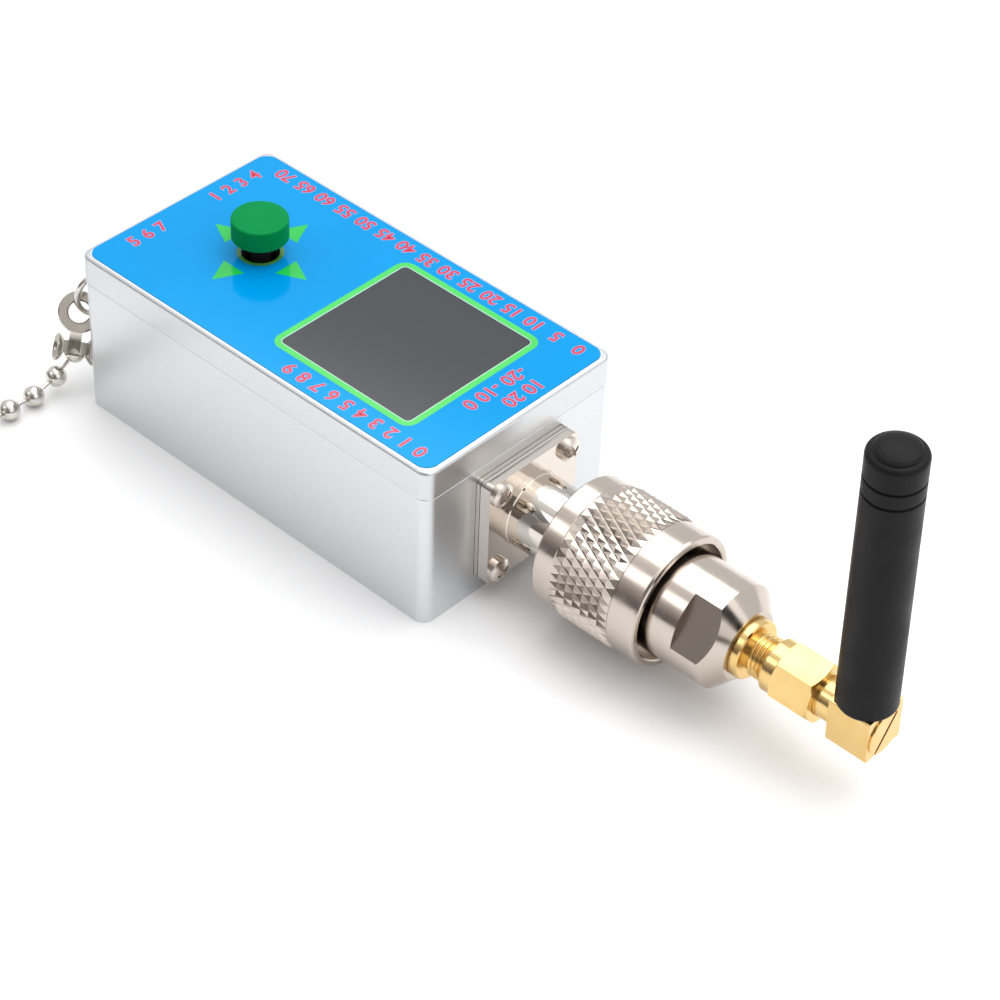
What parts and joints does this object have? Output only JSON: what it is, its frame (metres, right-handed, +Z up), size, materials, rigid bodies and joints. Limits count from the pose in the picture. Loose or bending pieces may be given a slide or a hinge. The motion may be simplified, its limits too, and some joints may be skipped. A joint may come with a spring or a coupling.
{
  "type": "rf power meter",
  "caption": "Pocket RF power meter: machined metal box with a display window, a five-way key, a coaxial input with an adapter and stub antenna, and a ball chain.",
  "frame": {"origin": "centre of the flat base face that the box stands on", "axes": "+X toward the end with the data sockets, -X along the coaxial input, +Z up through the display"},
  "size_m": [0.1713, 0.0771, 0.0589],
  "materials": {
    "case": "satin, bead blasted and anodised",
    "lid": "satin, bead blasted and anodised",
    "dark_steel": "black screws",
    "label": "glossy blue acrylic, printed behind",
    "window": "smoked acrylic",
    "display": "gloss",
    "foam": "matt",
    "board": "solder mask",
    "tin": "tinned",
    "black_plastic": "matt",
    "white_plastic": "satin",
    "ptfe": "waxy",
    "spring": "satin",
    "green_cap": "satin",
    "nickel": "bright nickel plate",
    "gold": "gold plate",
    "copper": "copper",
    "rubber_red": "matt",
    "antenna": "satin, moulded",
    "chain": "bright nickel plate"
  },
  "bodies": {
    "case": {"case_tub": "case", "case_lid": "lid", "lid_screws": "dark_steel", "label_plate": "label", "display_window": "window", "display_module": "display", "display_foam": "foam", "display_board": "board", "display_board_screws": "tin", "rf_board": "board", "rf_board_screws": "tin", "screening_can": "tin", "board_chips": "black_plastic", "board_header": "black_plastic", "usb_c_socket": "tin", "uart_socket": "white_plastic", "switch_base": "black_plastic", "switch_cover": "tin", "switch_dome": "spring", "flange_backing": "nickel", "n_jack_body": "nickel", "n_jack_insulator": "ptfe", "n_jack_contact": "gold", "flange_screws": "nickel", "lanyard_lug": "chain", "lug_screw": "chain", "split_ring": "chain", "chain_tab": "chain", "chain_balls": "chain", "chain_links": "chain", "chain_clasp": "chain"},
    "rocker": {"key_rocker": "black_plastic"},
    "yoke": {"key_yoke": "black_plastic"},
    "key": {"key_stem": "black_plastic", "key_cap": "green_cap"},
    "n_retainer": {"n_nut_ring": "spring"},
    "n_coupling_nut": {"n_nut": "nickel"},
    "adapter": {"n_gasket": "rubber_red", "adapter_body": "nickel", "adapter_insulator": "ptfe", "adapter_pin": "gold", "sma_jack": "gold"},
    "sma_retainer": {"sma_nut_ring": "spring"},
    "sma_coupling_nut": {"sma_nut": "gold"},
    "antenna": {"sma_gasket": "rubber_red", "elbow_body": "gold", "elbow_insulator": "ptfe", "elbow_pin": "gold", "elbow_cap": "gold", "antenna_core": "white_plastic", "antenna_wire": "copper", "antenna_sheath": "antenna"}
  },
  "joints": [
    {"name": "key_tilt_side", "type": "hinge", "parent": "case", "child": "rocker", "pos_m": [0.0165, 0, 0.02285], "axis": [1, 0, 0], "range_deg": [-6, 6], "stiffness_Nm_per_rad": 0.14},
    {"name": "key_tilt_length", "type": "hinge", "parent": "rocker", "child": "yoke", "pos_m": [0.0165, 0, 0.02285], "axis": [0, 1, 0], "range_deg": [-6, 6], "stiffness_Nm_per_rad": 0.14},
    {"name": "key_press", "type": "slide", "parent": "yoke", "child": "key", "axis": [0, 0, -1], "range_m": [0, 0.0003], "stiffness_N_per_m": 6000},
    {"name": "n_coupling_travel", "type": "slide", "parent": "case", "child": "n_retainer", "axis": [-1, 0, 0], "range_m": [0, 0.00741]},
    {"name": "n_nut_turn", "type": "hinge", "parent": "n_retainer", "child": "n_coupling_nut", "pos_m": [-0.0544, 0, 0.0117], "axis": [-1, 0, 0], "range_deg": [0, 2521]},
    {"name": "adapter_swivel", "type": "hinge", "parent": "n_retainer", "child": "adapter", "pos_m": [-0.0644, 0, 0.0117], "axis": [-1, 0, 0], "continuous": true},
    {"name": "sma_coupling_travel", "type": "slide", "parent": "adapter", "child": "sma_retainer", "axis": [-1, 0, 0], "range_m": [0, 0.00423]},
    {"name": "sma_nut_turn", "type": "hinge", "parent": "sma_retainer", "child": "sma_coupling_nut", "pos_m": [-0.0844, 0, 0.0117], "axis": [-1, 0, 0], "range_deg": [0, 2161]},
    {"name": "antenna_swivel", "type": "hinge", "parent": "sma_retainer", "child": "antenna", "pos_m": [-0.0924, 0, 0.0117], "axis": [-1, 0, 0], "continuous": true}
  ],
  "couplings": [
    {"joint": "n_nut_turn", "follows": "n_coupling_travel", "rad_per_m": 5938.7},
    {"joint": "sma_nut_turn", "follows": "sma_coupling_travel", "rad_per_m": 8904.7}
  ]
}
